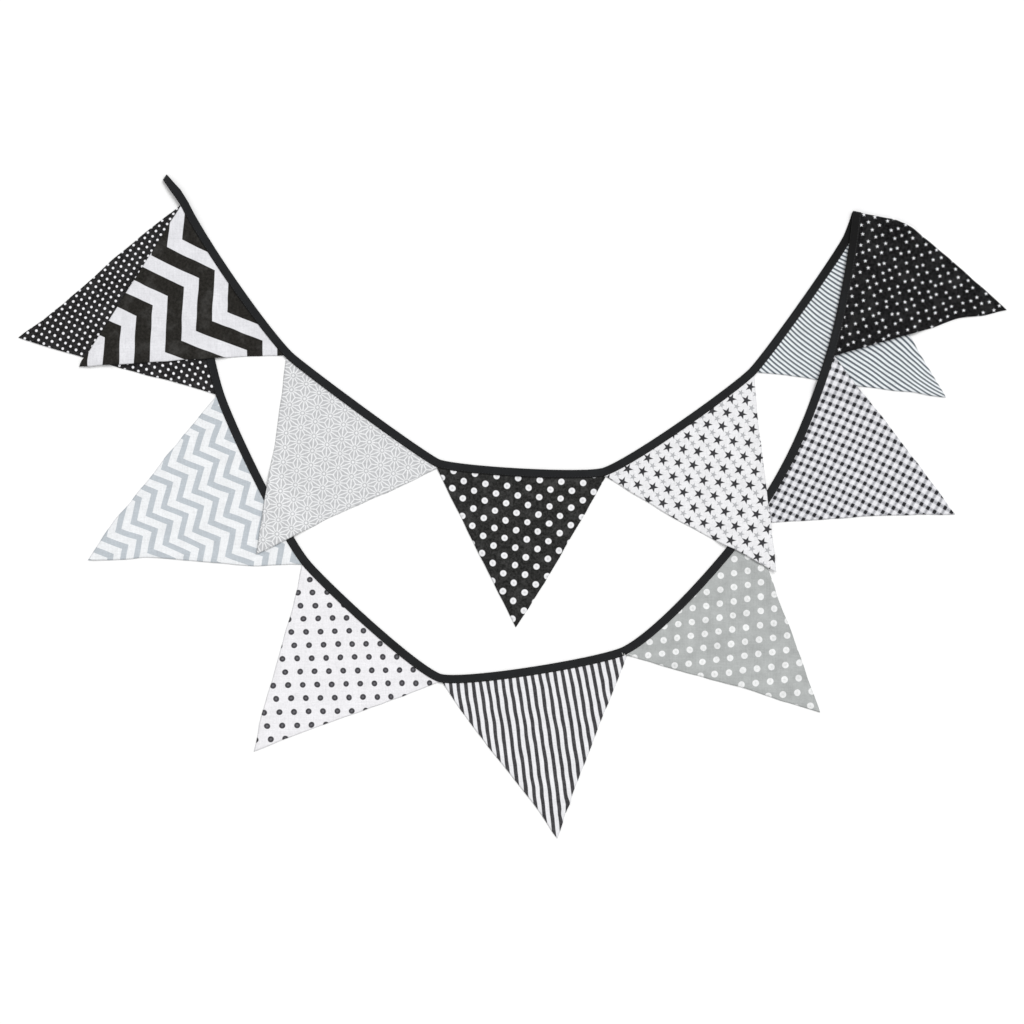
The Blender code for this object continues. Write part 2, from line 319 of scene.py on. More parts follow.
def row_outlines(seams):
    """For each flag the outlines in plan of the cloth and tape that others may lie on."""
    steps = [step / OUTLINE_STEPS for step in range(OUTLINE_STEPS + 1)]
    outlines = []
    for flag, seam in zip(FLAGS, seams):
        inner = [seam_point(seam, part) for part in steps]
        outer = [outer_point(seam, part) for part in reversed(steps)]
        outlines.append([inner + [Vector(flag.tip)], inner + outer])
    flag, seam = FLAGS[FOLDED], seams[FOLDED]
    seam_share = share_at(lambda part: seam_point(seam, part), 0.0)
    tip = Vector(flag.tip)
    side_share = share_at(lambda part: seam.start.lerp(tip, part), 0.0)
    under = [outer_point(seam, 0.0), outer_point(seam, seam_share),
             seam.start.lerp(tip, side_share), seam.start]
    outlines[FOLDED - 1].append([in_plan(corner) for corner in under])
    inner, outer = zip(*TUCKED_END)
    outlines[-1].append([Vector(spot) for spot in inner + outer[::-1]])
    return outlines


# The flags


def warped(shares):
    """Three shares of a flag's corners, moved so that the rows lie closer along its edges."""
    moved = [share * (ROW_CROWD + (1 - ROW_CROWD) * eased(share / ROW_REACH)) for share in shares]
    total = sum(moved)
    return [share / total for share in moved]


def side_shift(stations, down):
    """How far a side lies outside its line at a share of the way down it, metres."""
    place = down * (len(stations) - 1)
    step = min(int(place), len(stations) - 2)
    return (stations[step] + (stations[step + 1] - stations[step]) * eased(place - step)) / 1000


def flag_plan(index, seam, shares):
    """The point of a flag for its shares of seam start, seam end and tip, with its bowed edges."""
    flag = FLAGS[index]
    start, end, tip = shares
    along = end / (start + end) if start + end > 0 else 0.5
    chord_point = seam.start * start + seam.end * end + Vector(flag.tip) * tip
    bow = seam_point(seam, along) - seam.start.lerp(seam.end, along)
    spot = chord_point + bow * (start + end)
    middle = (seam.start + seam.end + Vector(flag.tip)) / 3
    for corner, other, depth, share, stations in (
            (seam.start, end, flag.bow_near, start, SIDES[index][0]),
            (seam.end, start, flag.bow_far, end, SIDES[index][1])):
        way = (Vector(flag.tip) - corner).normalized()
        out = Vector((-way.y, way.x))
        if out.dot(corner - middle) < 0 and corner == seam.end:
            out = -out
        if share + tip > 0:
            down = tip / (share + tip)
            spot = spot + out * depth * 4 * down * (1 - down) * (1 - other)
            outward = out if out.dot(corner - middle) > 0 else -out
            spot = spot + outward * side_shift(stations, down) * (1 - other)
    return spot


def nudged(number, spot):
    """A point of the laid cloth, moved by its flag's nudges."""
    for flag, place, shift, reach in NUDGES:
        if flag == number:
            far = (spot.to_2d() - Vector(place)).length / reach
            spot = spot + Vector((*shift, 0.0)) * math.exp(-far * far)
    return spot


def crease_rise(number, spot):
    """The height that a flag's creases add at a point."""
    rise = 0.0
    for flag, start, end, height, wide in CREASES:
        if flag == number:
            far = away_from(spot, (Vector(start), Vector(end)))
            rise += height * math.exp(-(far / wide) ** 2)
    return rise


def put_map(shape, name, spots):
    """A map of a shape's surface, from where each of its points lies on it."""
    layer = shape.loops.layers.uv.new(name)
    for face in shape.faces:
        for loop in face.loops:
            loop[layer].uv = spots[loop.vert]


def flat_flag(index, seam):
    """One layer of a flag before it is laid, with its plan kept as the print's map."""
    tip = Vector(FLAGS[index].tip)
    shell = bmesh.new()
    corners = (Vector((0, 0, 0)), Vector((1, 0, 0)), Vector((0, 1, 0)))
    shell.faces.new([shell.verts.new(corner) for corner in corners])
    bmesh.ops.subdivide_edges(shell, edges=shell.edges, cuts=FLAG_CUTS, use_grid_fill=True)
    chord = seam.end - seam.start
    depth = abs(chord.x * (tip - seam.start).y - chord.y * (tip - seam.start).x) / chord.length
    for vertex in shell.verts:
        end, down = vertex.co.x, vertex.co.y
        shares = warped([max(1 - end - down, 0.0), max(end, 0.0), max(down, 0.0)])
        spot = flag_plan(index, seam, shares)
        near_seam = max(1 - shares[2] * depth / TUCK_FADE, 0.0)
        near_corner = min(shares[0], shares[1]) * chord.length
        spot = spot - seam.side * TUCKED_IN * near_seam * eased(near_corner / TUCK_FADE)
        vertex.co = (spot.x, spot.y, 0.0)
    if index == FOLDED:
        arc = math.pi * FOLD_RADIUS
        for step in range(FOLD_STEPS + 1):
            cut = FOLD_AT + FOLD_OUT * arc * step / FOLD_STEPS
            bmesh.ops.bisect_plane(shell, geom=shell.verts[:] + shell.edges[:] + shell.faces[:],
                                   plane_co=cut.to_3d(), plane_no=FOLD_OUT.to_3d(), dist=CUT_SLACK)
    bmesh.ops.triangulate(shell, faces=[face for face in shell.faces if len(face.verts) > 3])
    for face in shell.faces:
        if face.normal.z < 0:
            face.normal_flip()
    put_map(shell, "print", {vertex: vertex.co.to_2d() for vertex in shell.verts})
    return shell


def cloth_thickness(from_side, rim):
    """How thick a flag is: fullest over its turned-in allowance, and rounded off at the very edge."""
    thick = CLOTH + (CLOTH_INSIDE - CLOTH) * eased((from_side - SEAM_ALLOWANCE) / ALLOWANCE_FADE)
    if rim < EDGE_ROUND:
        thick *= math.sqrt(max(1 - (1 - rim / EDGE_ROUND) ** 2, 0.0))
    return thick


def laid_point(index, spot, from_seam, rim, half, beneath):
    """Where a point of a flag comes to lie, half the cloth's thickness above or below its middle."""
    at_tape = 1 - eased(from_seam / TUCK_FADE)
    middle = CLOTH / 2 + (TAPE_THICK / 2 - CLOTH / 2) * at_tape
    if index == FOLDED and beyond_fold(spot) > 0:
        return turned_under(spot, middle, half)
    calm = eased(from_seam / WAVE_FADE) * eased(-beyond_fold(spot) / FOLD_FADE)
    wave = noise.noise(Vector((spot.x / WAVE_SIZE, spot.y / WAVE_SIZE, index * WAVE_APART)))
    pucker = noise.noise(Vector((spot.x / PUCKER_SIZE, spot.y / PUCKER_SIZE, index * PUCKER_APART)))
    rise = lift(spot, beneath, layer_step(index)) + calm * WAVE * max(wave + WAVE_RAISED, 0.0)
    rise += PUCKER * max(pucker, 0.0) * eased(rim / PUCKER_FADE) + calm * crease_rise(index + 1, spot)
    wander = [noise.noise(Vector((spot.x, spot.y, draw)) / EDGE_WANDER_SIZE) for draw in WANDER_DRAWS]
    return (Vector((spot.x, spot.y, middle + rise + half))
            + Vector((*wander, 0.0)) * EDGE_WANDER * eased(from_seam / WANDER_FADE))


def make_flag(index, seam, beneath):
    """One flag: two layers of cloth turned out at the cut sides, its seam edge inside the tape."""
    shell = flat_flag(index, seam)
    cut_edge = shell.verts.layers.int.new("cut_edge")
    for vertex in shell.verts:
        vertex[cut_edge] = vertex.is_boundary
    back = bmesh.ops.duplicate(shell, geom=shell.faces[:])["geom"]
    bmesh.ops.reverse_faces(shell, faces=[part for part in back if isinstance(part, bmesh.types.BMFace)])
    back_verts = {part for part in back if isinstance(part, bmesh.types.BMVert)}
    parts = [step / OUTLINE_STEPS for step in range(OUTLINE_STEPS + 1)]
    seam_edge = [seam_point(seam, part) for part in parts]
    near_side = [flag_plan(index, seam, (1 - part, 0, part)) for part in parts]
    far_side = [flag_plan(index, seam, (0, 1 - part, part)) for part in parts]
    rims = {}
    for vertex in shell.verts:
        spot = vertex.co.to_2d()
        from_side = min(away_from(spot, near_side), away_from(spot, far_side))
        from_seam = away_from(spot, seam_edge)
        rims[vertex] = (from_side, from_seam)
        rim = 0.0 if vertex[cut_edge] else min(from_side, from_seam)
        half = cloth_thickness(from_side, rim) / 2
        if vertex in back_verts:
            half = -half
        vertex.co = nudged(index + 1, laid_point(index, spot, from_seam, rim, half, beneath))
    put_map(shell, "edge", rims)
    bmesh.ops.remove_doubles(shell, verts=shell.verts, dist=SAME_PLACE)
    return shell


def linked(name, data):
    """An object with this name and data, in the scene."""
    thing = bpy.data.objects.new(name, data)
    bpy.context.scene.collection.objects.link(thing)
    return thing


def shaped(name, shape, material):
    """An object in the scene from its shape and its finish."""
    mesh = bpy.data.meshes.new(name)
    shape.to_mesh(mesh)
    shape.free()
    mesh.materials.append(material)
    return linked(name, mesh)


def finished(name, shape, material):
    """A smooth piece of the object from its shape and its finish, riding on the object."""
    for face in shape.faces:
        face.smooth = True
    piece = shaped(name, shape, material)
    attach(piece, "root")
    return piece


# The tape

def tape_sections(seams, beneath):
    """The tape's cross-lines from its free end to its tucked end.

    Each is the seam edge and outer edge in plan, the outlines beneath it, whether it is carried
    round the fold, which face of the tape is uppermost, and how high it lies over those outlines.
    """
    sections = [[*map(Vector, row), beneath[0], False, -1, STEP] for row in FREE_END]
    for index, seam in enumerate(seams):
        up = -1 if index < FOLDED else 1
        begin = 0.0
        steps = range(0 if index in (0, FOLDED + 1) else 1, TAPE_STEPS + 1)
        if index == FOLDED:
            depth = beyond_fold(seam.start)
            arc = math.pi * FOLD_RADIUS
            pasts = [arc + (depth - arc) * (FLAP_ROWS - step) / FLAP_ROWS for step in range(1, FLAP_ROWS)]
            pasts += [arc * step / FOLD_STEPS for step in range(FOLD_STEPS, -1, -1)]
            for past in pasts:
                pair = [edge(seam, share_at(lambda part: edge(seam, part), past))
                        for edge in (seam_point, outer_point)]
                sections.append([*pair, (), True, up, FOLD_STEP])
            begin = share_at(lambda part: seam_point(seam, part), 0.0)
            steps = range(1, TAPE_STEPS)
        for step in steps:
            part = begin + (1 - begin) * step / TAPE_STEPS
            sections.append([seam_point(seam, part), outer_point(seam, part), beneath[index], False, up,
                             layer_step(index)])
    sections += [[*map(Vector, row), (), False, 1, STEP] for row in reversed(TUCKED_END)]
    return sections


def tape_profile():
    """The folded tape's cross-section: share across from the seam edge, and height, from top to bottom."""
    bend = (TAPE_THICK - TAPE_LEAF) / 2
    centre = 1 - (TAPE_THICK / 2) / TAPE_WIDE
    begin = TAPE_LEAF / 2 / TAPE_WIDE
    flat = [(begin + (centre - begin) * step / PROFILE_STEPS, bend) for step in range(PROFILE_STEPS + 1)]
    curve = []
    for step in range(1, BEND_STEPS):
        turn = math.pi * step / BEND_STEPS
        curve.append((centre + bend * math.sin(turn) / TAPE_WIDE, bend * math.cos(turn)))
    return flat + curve + [(share, -height) for share, height in reversed(flat)]


def tape_spot(section, across, height):
    """A point of the tape at a share across it and a height from its middle."""
    seam_edge, outer_edge, beneath, folded, up, step = section
    spot = seam_edge.lerp(outer_edge, across)
    if folded and beyond_fold(spot) > 0:
        return turned_under(spot, TAPE_THICK / 2, height)
    rise = step if folded else lift(spot, beneath, step)
    return Vector((spot.x, spot.y, TAPE_THICK / 2 + rise + height * up))


def make_tape(sections):
    """The binding tape as one strip folded lengthwise."""
    profile = tape_profile()
    columns, rows = len(profile) - 1, len(sections) - 1
    strip = bmesh.new()
    bmesh.ops.create_grid(strip, x_segments=columns, y_segments=rows, size=1.0)
    round_it = [0.0]
    for (share, height), (next_share, next_height) in zip(profile, profile[1:]):
        round_it.append(round_it[-1] + math.hypot((next_share - share) * TAPE_WIDE, next_height - height))
    run = [0.0]
    for before, after in zip(sections, sections[1:]):
        run.append(run[-1] + ((before[0] + before[1]) / 2 - (after[0] + after[1]) / 2).length)
    places = {vertex: (round((vertex.co.x + 1) / 2 * columns), round((vertex.co.y + 1) / 2 * rows))
              for vertex in strip.verts}
    put_map(strip, "print", {vertex: (round_it[column], run[row])
                             for vertex, (column, row) in places.items()})
    for vertex, (column, row) in places.items():
        vertex.co = tape_spot(sections[row], *profile[column])
    return strip, run


def make_stitches(sections, run):
    """Every stitch on both faces of the tape, each a low thread loop pressed into the cloth."""
    thread = bmesh.new()
    row = 0
    along = STITCH_PITCH
    while along < run[-1] - STITCH_PITCH:
        while run[row + 1] < along:
            row += 1
        share = (along - run[row]) / (run[row + 1] - run[row])
        for face_side in (1, -1):
            height = face_side * (TAPE_THICK / 2 + STITCH_PROUD)
            across = STITCH_IN / TAPE_WIDE
            first = tape_spot(sections[row], across, height)
            second = tape_spot(sections[row + 1], across, height)
            inner = tape_spot(sections[row], across, height - STITCH_ROOT * face_side)
            if (second - first).length < STITCH_LEAST:
                continue
            way = (second - first).normalized()
            up = (first - inner).normalized()
            side = up.cross(way).normalized()
            up = way.cross(side)
            place = first.lerp(second, share)
            place.z = max(place.z, STITCH_THICK / 2)
            turn = Matrix((way * STITCH / 2, side * STITCH_THICK / 2, up * STITCH_THICK / 2)).transposed()
            bmesh.ops.create_icosphere(thread, subdivisions=1, radius=1.0,
                                       matrix=Matrix.Translation(place) @ turn.to_4x4())
        along += STITCH_PITCH
    return thread


def make_frayed():
    """A few loose threads, thin and tapered at both ends."""
    threads = bmesh.new()
    for x, y, turn, length in FRAYED:
        place = Matrix.Translation((x, y, TAPE_THICK + FRAY_THICK / 4))
        turned = Matrix.Rotation(math.radians(turn), 4, "Z")
        drawn = Matrix.Diagonal((length / 2, FRAY_THICK / 2, FRAY_THICK / 2, 1))
        bmesh.ops.create_icosphere(threads, subdivisions=2, radius=1.0, matrix=place @ turned @ drawn)
    return threads


# Finishes

# The ink's own blur, how often the print drifts, and a star's waist as a share of its radius
INK_BLUR = 0.35
DRIFT = 0.05
STAR_WAIST = 0.309


def shade(code):
    """An sRGB hex colour as linear values."""
    parts = [int(code[place:place + 2], 16) / 255 for place in (1, 3, 5)]
    return (*[part / 12.92 if part <= 0.04045 else ((part + 0.055) / 1.055) ** 2.4 for part in parts], 1.0)


def add(tree, kind, feeds=(), **settings):
    """Add one node, of a kind and maybe an operation, and feed its sockets, by name or in their order.

    Each feed is a value, a node's output or a node, for which its first output stands.
    """
    kind, _, operation = kind.partition(" ")
    node = tree.nodes.new("ShaderNode" + kind)
    if operation:
        node.operation = operation
    for name, value in settings.items():
        setattr(node, name, value)
    for socket, source in feeds.items() if isinstance(feeds, dict) else enumerate(feeds):
        if isinstance(source, bpy.types.Node):
            source = source.outputs[0]
        if isinstance(source, bpy.types.NodeSocket):
            tree.links.new(source, node.inputs[socket])
        else:
            node.inputs[socket].default_value = source
    return node


def new_finish(name):
    """An empty material and its node tree."""
    material = bpy.data.materials.new(name)
    material.use_nodes = True
    material.node_tree.nodes.clear()
    return material, material.node_tree


def cloth_map(tree, name="print"):
    """One of the cloth's maps, in millimetres."""
    cloth = add(tree, "UVMap", uv_map=name)
    return add(tree, "VectorMath SCALE", {0: cloth, "Scale": 1000.0})


def measures(tree, place, rows):
    """A place's measure along each of some rows."""
    return [add(tree, "VectorMath DOT_PRODUCT", [place, row]).outputs["Value"] for row in rows]


def print_place(tree, origin, turn=0.0, middle=(0, 0), pull=(0,) * 6, wander=0.15):
    """Where a point of the cloth lies on its print, in millimetres from the print's origin.

    pull is how the cloth is drawn off the straight grain: the sideways and upward shift, in
    thousandths, for the squares and the product of the distances from the flag's middle.
    """
    place = cloth_map(tree)
    away = add(tree, "VectorMath SUBTRACT", [place, (*middle, 0)])
    parts = add(tree, "SeparateXYZ", [away])
    squared = add(tree, "VectorMath MULTIPLY", [away, away])
    squares = add(tree, "SeparateXYZ", [squared])
    product = add(tree, "Math MULTIPLY", [parts.outputs["X"], parts.outputs["Y"]])
    terms = add(tree, "CombineXYZ", [squares.outputs["X"], product, squares.outputs["Y"]])
    drawn_by = [[term / 1000 for term in row] for row in (pull[:3], pull[3:])]
    shift = add(tree, "CombineXYZ", measures(tree, terms, drawn_by))
    drawn = add(tree, "VectorMath ADD", [place, shift])
    laid = add(tree, "Mapping", [drawn, (*origin, 0), (0, 0, math.radians(turn))], vector_type="TEXTURE")
    drift = add(tree, "TexNoise", {"Vector": laid, "Scale": DRIFT, "Detail": 1.0}, noise_dimensions="2D")
    centred = add(tree, "VectorMath SUBTRACT", [drift.outputs["Color"], (0.5, 0.5, 0.5)])
    moved = add(tree, "VectorMath MULTIPLY_ADD", [centred, (wander * 4, wander * 4, 0), laid])
    return add(tree, "VectorMath MULTIPLY", [moved, (1, 1, 0)])


def repeats(tree, place, first, second):
    """How many repeats of a lattice a place lies along each of its two ways."""
    area = first[0] * second[1] - first[1] * second[0]
    return measures(tree, place, ((second[1] / area, -second[0] / area, 0),
                                  (-first[1] / area, first[0] / area, 0)))


def repeated(tree, place, first, second):
    """The offset from the nearest point of a lattice with these two repeats, in millimetres."""
    along, across = [add(tree, "Math WRAP", [count, 0.5, -0.5])
                     for count in repeats(tree, place, first, second)]
    part = add(tree, "VectorMath MULTIPLY", [across, (*second, 0)])
    return add(tree, "VectorMath MULTIPLY_ADD", [along, (*first, 0), part])


def within(tree, measure, edge, soft=INK_BLUR):
    """1 where a measure is under an edge, 0 beyond it, blurred as ink is, all in the measure's own unit."""
    return add(tree, "MapRange", {"Value": measure, "From Min": edge + soft, "From Max": edge - soft},
               interpolation_type="SMOOTHSTEP")


def dots(tree, place, first, second, across):
    """Round dots of one size on a lattice, and their middles, where the ink lies thinner."""
    far = add(tree, "VectorMath LENGTH", [repeated(tree, place, first, second)]).outputs["Value"]
    return within(tree, far, across / 2), within(tree, far, across / 6, 0.8)


def five_points(tree, offset, radius, turn, soft=0.3):
    """A five-pointed star of a given radius round the offset's origin."""
    parts = add(tree, "SeparateXYZ", [offset])
    bearing = add(tree, "Math ARCTAN2", [parts.outputs["Y"], parts.outputs["X"]])
    for operation, angle in (("SUBTRACT", turn), ("PINGPONG", 36), ("SUBTRACT", 72)):
        bearing = add(tree, "Math " + operation, [bearing, math.radians(angle)])
    bearing = add(tree, "Math COSINE", [bearing])
    far = add(tree, "VectorMath LENGTH", [offset])
    measure = add(tree, "Math MULTIPLY", [far.outputs["Value"], bearing])
    return within(tree, measure, STAR_WAIST * radius, soft)


def bands(tree, measure, repeat, wide, soft=INK_BLUR):
    """Bands of one width, centred on each repeat of a measure."""
    near = add(tree, "Math WRAP", [measure, repeat / 2, -repeat / 2])
    near = add(tree, "Math ABSOLUTE", [near])
    return within(tree, near, wide / 2, soft)


def zigzag(tree, place, half, depth):
    """The distance across a zigzag that runs along X and steps sideways by depth every half length."""
    parts = add(tree, "SeparateXYZ", [place])
    wave = add(tree, "Math PINGPONG", [parts.outputs["X"], half])
    wave = add(tree, "Math MULTIPLY", [wave, depth / half])
    return add(tree, "Math SUBTRACT", [parts.outputs["Y"], wave])


def hemp_leaves(tree, place, first, second, line, spot):
    """Hemp leaf: six-rayed stars on a triangular lattice whose rays meet, with a spot at each centre."""
    u, v = [add(tree, "Math FRACT", [count]) for count in repeats(tree, place, first, second)]
    both = add(tree, "Math ADD", [u, v])
    upper = add(tree, "Math GREATER_THAN", [both, 1.0])
    flip = add(tree, "Math MULTIPLY_ADD", [upper, -2.0, 1.0])
    u, v = [add(tree, "Math MULTIPLY_ADD", [part, flip, upper]) for part in (u, v)]
    w = add(tree, "Math SUBTRACT", [1.0, add(tree, "Math ADD", [u, v])])
    low = add(tree, "Math MINIMUM", [u, v])
    high = add(tree, "Math MAXIMUM", [u, v])
    least = add(tree, "Math MINIMUM", [low, w])
    middle = add(tree, "Math MINIMUM", [high, w])
    middle = add(tree, "Math MAXIMUM", [low, middle])
    ray = add(tree, "Math SUBTRACT", [middle, least])
    size = math.hypot(*first) * 0.87
    edge = add(tree, "Math MULTIPLY", [least, size])
    ray = add(tree, "Math MULTIPLY", [ray, size * 0.6])
    nearest = add(tree, "Math MINIMUM", [edge, ray])
    lines = within(tree, nearest, line / 2, 0.3)
    far = add(tree, "VectorMath LENGTH", [repeated(tree, place, first, second)]).outputs["Value"]
    clear = add(tree, "Math SUBTRACT", [1.0, within(tree, far, spot * 0.95, 0.3)])
    lines = add(tree, "Math MULTIPLY", [lines, clear])
    return add(tree, "Math MAXIMUM", [lines, within(tree, far, spot / 2, 0.3)])


def inked(tree, ground, ink, mask):
    """Ink over a ground colour where the mask is 1; each is a hex colour or made by nodes."""
    ground, ink = [shade(colour) if isinstance(colour, str) else colour for colour in (ground, ink)]
    return add(tree, "Mix", {0: mask, 6: ground, 7: ink}, data_type="RGBA").outputs[2]


def uneven_dye(tree, deep, worn):
    """A dark ink that takes unevenly from yarn to yarn, between two shades."""
    yarn = add(tree, "TexNoise", {"Vector": cloth_map(tree), "Scale": 0.38, "Detail": 3.0, "Roughness": 0.75},
               noise_dimensions="2D")
    share = add(tree, "MapRange", {"Value": yarn, "From Min": 0.3, "From Max": 0.7})
    return inked(tree, deep, worn, share)


# Thread spacing of a light plain-woven cotton is near 0.4 mm; it is drawn at 0.8 mm so that it shows
THREAD = 0.8
WEAVE_DEPTH = 0.12
CLOUD = (0.06, 4.0, 0.6)
YARN = (0.55, 2.0, 0.7)
SLUB_LONG = 14
SLUB_WIDE = 1.5
SLUB_RISE = 1.2
SLUB_TONE = 0.15
YARN_TONE = 0.22

# Darker lines beside a turned-out side, each how far in, how blurred, how much darker: the first, along the
# very edge, is painted shade; the second is the seam allowance showing through
EDGE_SHADE_AND_ALLOWANCE_LINES = ((0.8, 0.5, 0.17), (SEAM_ALLOWANCE * 1000, 0.6, 0.012))


def woven(tree, material, colour, shine=0.12, thread=THREAD, rough=0.86, haze=0.0, cloudy=0.12,
          edge_shade_and_allowance=True, gloss=0.25):
    """Plain-woven cotton: crossing threads, slubs, a faint nap and slightly uneven ink, with painted shade
    along a turned-out side and, where asked, a painted sheen haze.
    """
    place = cloth_map(tree)
    parts = add(tree, "SeparateXYZ", [place])
    threads = [add(tree, "Math MULTIPLY", [parts.outputs[way], 2 * math.pi / thread])
               for way in "XY"]
    weave = add(tree, "Math MULTIPLY", [add(tree, "Math SINE", [run]) for run in threads])
    slubs = []
    for stretch in ((1 / SLUB_LONG, 1 / SLUB_WIDE, 1), (1 / SLUB_WIDE, 1 / SLUB_LONG, 1)):
        drawn = add(tree, "VectorMath MULTIPLY", [place, stretch])
        slubs.append(add(tree, "TexNoise", {"Vector": drawn, "Scale": 1.0, "Detail": 2.0},
                         noise_dimensions="2D"))
    slub = add(tree, "Math ADD", slubs)
    cloud, yarn = [
        add(tree, "TexNoise", {"Vector": place, "Scale": scale, "Detail": detail, "Roughness": wear},
            noise_dimensions="2D") for scale, detail, wear in (CLOUD, YARN)]
    tone = add(tree, "Math MULTIPLY_ADD", [yarn, YARN_TONE, -YARN_TONE / 2])
    slub_tone = add(tree, "Math MULTIPLY_ADD", [slub, SLUB_TONE, -SLUB_TONE])
    cloud_tone = add(tree, "Math MULTIPLY_ADD", [cloud, cloudy, 1 - cloudy / 2])
    for part in (slub_tone, cloud_tone):
        tone = add(tree, "Math ADD", [tone, part])
    # Painted shade in a thin darker line along a turned-out side, and a faint darker band where the seam
    # allowance shows through
    if edge_shade_and_allowance:
        from_edges = add(tree, "SeparateXYZ", [cloth_map(tree, "edge")])
        for wide, soft, shaded in EDGE_SHADE_AND_ALLOWANCE_LINES:
            line = within(tree, from_edges.outputs["X"], wide, soft)
            tone = add(tree, "Math MULTIPLY_ADD", [line, -shaded, tone])
    toned = add(tree, "VectorMath MULTIPLY", [colour, tone])
    # Painted sheen: a paler haze where the cloud noise is high, for the mottled sheen of rumpled dark cloth
    if haze:
        painted_sheen_haze = add(tree, "MapRange", {"Value": cloud, "From Min": 0.45, "From Max": 0.75, "To Max": haze},
                   interpolation_type="SMOOTHSTEP")
        toned = add(tree, "VectorMath ADD", [toned, painted_sheen_haze])
    height = add(tree, "Math MULTIPLY_ADD", [slub, SLUB_RISE, weave])
    bump = add(tree, "Bump", {"Strength": 0.5, "Distance": WEAVE_DEPTH / 1000, "Height": height})
    roughness = add(tree, "Math MULTIPLY_ADD", [cloud, 0.10, rough - 0.05])
    shader = add(tree, "BsdfPrincipled", {
        "Base Color": toned, "Roughness": roughness, "Normal": bump, "Sheen Weight": shine,
        "Sheen Roughness": 0.5, "Specular IOR Level": gloss, "IOR": 1.47})
    add(tree, "OutputMaterial", [shader])
    return material


def broad_chevron_cotton():
    """Printed cotton poplin, rotary screen printed: matt, the black ink slightly warm and clouded."""
    material, tree = new_finish("printed_cotton_broad_chevron")
    place = print_place(tree, (-354.7, 255.6), -58.4, (-330.4, 196.1), (0.05, 0.47, -0.30, 0.01, 1.26, 0.59))
    mask = bands(tree, zigzag(tree, place, 44.2, 30.75), 36.47, 18.8)
    colour = inked(tree, "#E3E3E7", uneven_dye(tree, "#1B1A17", "#302E2B"), mask)
    return woven(tree, material, colour, 0.05, haze=0.022, gloss=0.1)


def hemp_leaf_cotton():
    """Printed cotton lawn: grey ground with the white of the cloth left as fine lines."""
    material, tree = new_finish("printed_cotton_hemp_leaf")
    place = print_place(tree, (-207.3, 122.4), 0.0, (-186.1, 46.6), (0.04, -0.07, -0.20, -0.04, -0.02, 0.0))
    mask = hemp_leaves(tree, place, (13.07, -8.68), (-1.46, -14.44), 1.25, 2.6)
    return woven(tree, material, inked(tree, "#C3C4C6", "#EEEFF0", mask))


def white_dots_cotton():
    """Printed cotton poplin: black ground, white dots of 6.3 mm."""
    material, tree = new_finish("printed_cotton_white_dots")
    place = print_place(tree, (26.7, 9.4), 0.0, (6.4, -16.9), (-0.01, 0.15, -0.01, -0.31, 0.22, 0.21))
    mask, pooled = dots(tree, place, (10.53, -9.6), (-11.23, -7.78), 6.3)
    white = inked(tree, "#EFEFF1", "#D6D6D8", pooled)
    colour = inked(tree, uneven_dye(tree, "#121211", "#393938"), white, mask)
    return woven(tree, material, colour, 0.05, haze=0.022, gloss=0.1)


def two_tone_stars_cotton():
    """Printed cotton poplin: dark grey and pale grey five-pointed stars on white."""
    material, tree = new_finish("printed_cotton_two_tone_stars")
    first, second = (15.36, -1.79), (-4.84, -13.56)
    place = print_place(tree, (134.7, 46.8), 0.0, (199.1, 31.9), (-0.08, 0.45, 0.17, -0.38, -0.01, 0.01))
    dark = five_points(tree, repeated(tree, place, first, second), 5.7, 67.4)
    halfway = ((first[0] + second[0]) / 2, (first[1] + second[1]) / 2, 0)
    shifted = add(tree, "VectorMath SUBTRACT", [place, halfway])
    pale = five_points(tree, repeated(tree, shifted, first, second), 3.7, 67.4)
    colour = inked(tree, "#EDEDEF", "#B4B5B8", pale)
    return woven(tree, material, inked(tree, colour, uneven_dye(tree, "#29292C", "#424245"), dark))


# Where the pinstripes run, millimetres across them, as a sum of powers of the place in decimetres:
# one row for each power of Y from 0 up, with the powers of X along the row
PINSTRIPE_DRAW = (
    (0.903, -50.65, 4.205, -20.252, -3.58),
    (-85.506, 19.743, 31.437, -31.73),
    (1.501, 7.863, 58.379),
    (-0.455, -6.19),
    (-7.559,),
)


def pinstripe_cotton():
    """Printed cotton poplin: thin dark grey lines on white, drawn well off the straight grain."""
    material, tree = new_finish("printed_cotton_pinstripe")
    cloth = add(tree, "UVMap", uv_map="print")
    away = add(tree, "VectorMath SUBTRACT", [cloth, (0.3388, 0.1685, 0)])
    away = add(tree, "VectorMath SCALE", {0: away, "Scale": 10.0})
    parts = add(tree, "SeparateXYZ", [away])
    measure = 0.0
    for row in reversed(PINSTRIPE_DRAW):
        part = 0.0
        for term in reversed(row):
            part = add(tree, "Math MULTIPLY_ADD", [parts.outputs["X"], part, term])
        measure = add(tree, "Math MULTIPLY_ADD", [parts.outputs["Y"], measure, part])
    mask = bands(tree, measure, 4.31, 1.8, 0.5)
    return woven(tree, material, inked(tree, "#E9EDF0", "#505A63", mask))


def scattered_stars_cotton():
    """Printed cotton poplin: small white stars strewn on black."""
    material, tree = new_finish("printed_cotton_scattered_stars")
    place = print_place(tree, (3.0, 2.0), 24.0)
    strewn = add(tree, "TexVoronoi", {"Vector": place, "Scale": 1 / 8.7, "Randomness": 0.38},
                 voronoi_dimensions="2D")
    centre = add(tree, "VectorMath MULTIPLY", [strewn.outputs["Position"], (1, 1, 0)])
    offset = add(tree, "VectorMath SUBTRACT", [place, centre])
    mask = five_points(tree, offset, 2.12, 70, 0.22)
    colour = inked(tree, uneven_dye(tree, "#010102", "#272728"), "#E8E9EC", mask)
    return woven(tree, material, colour, 0.03, haze=0.012, gloss=0.06)


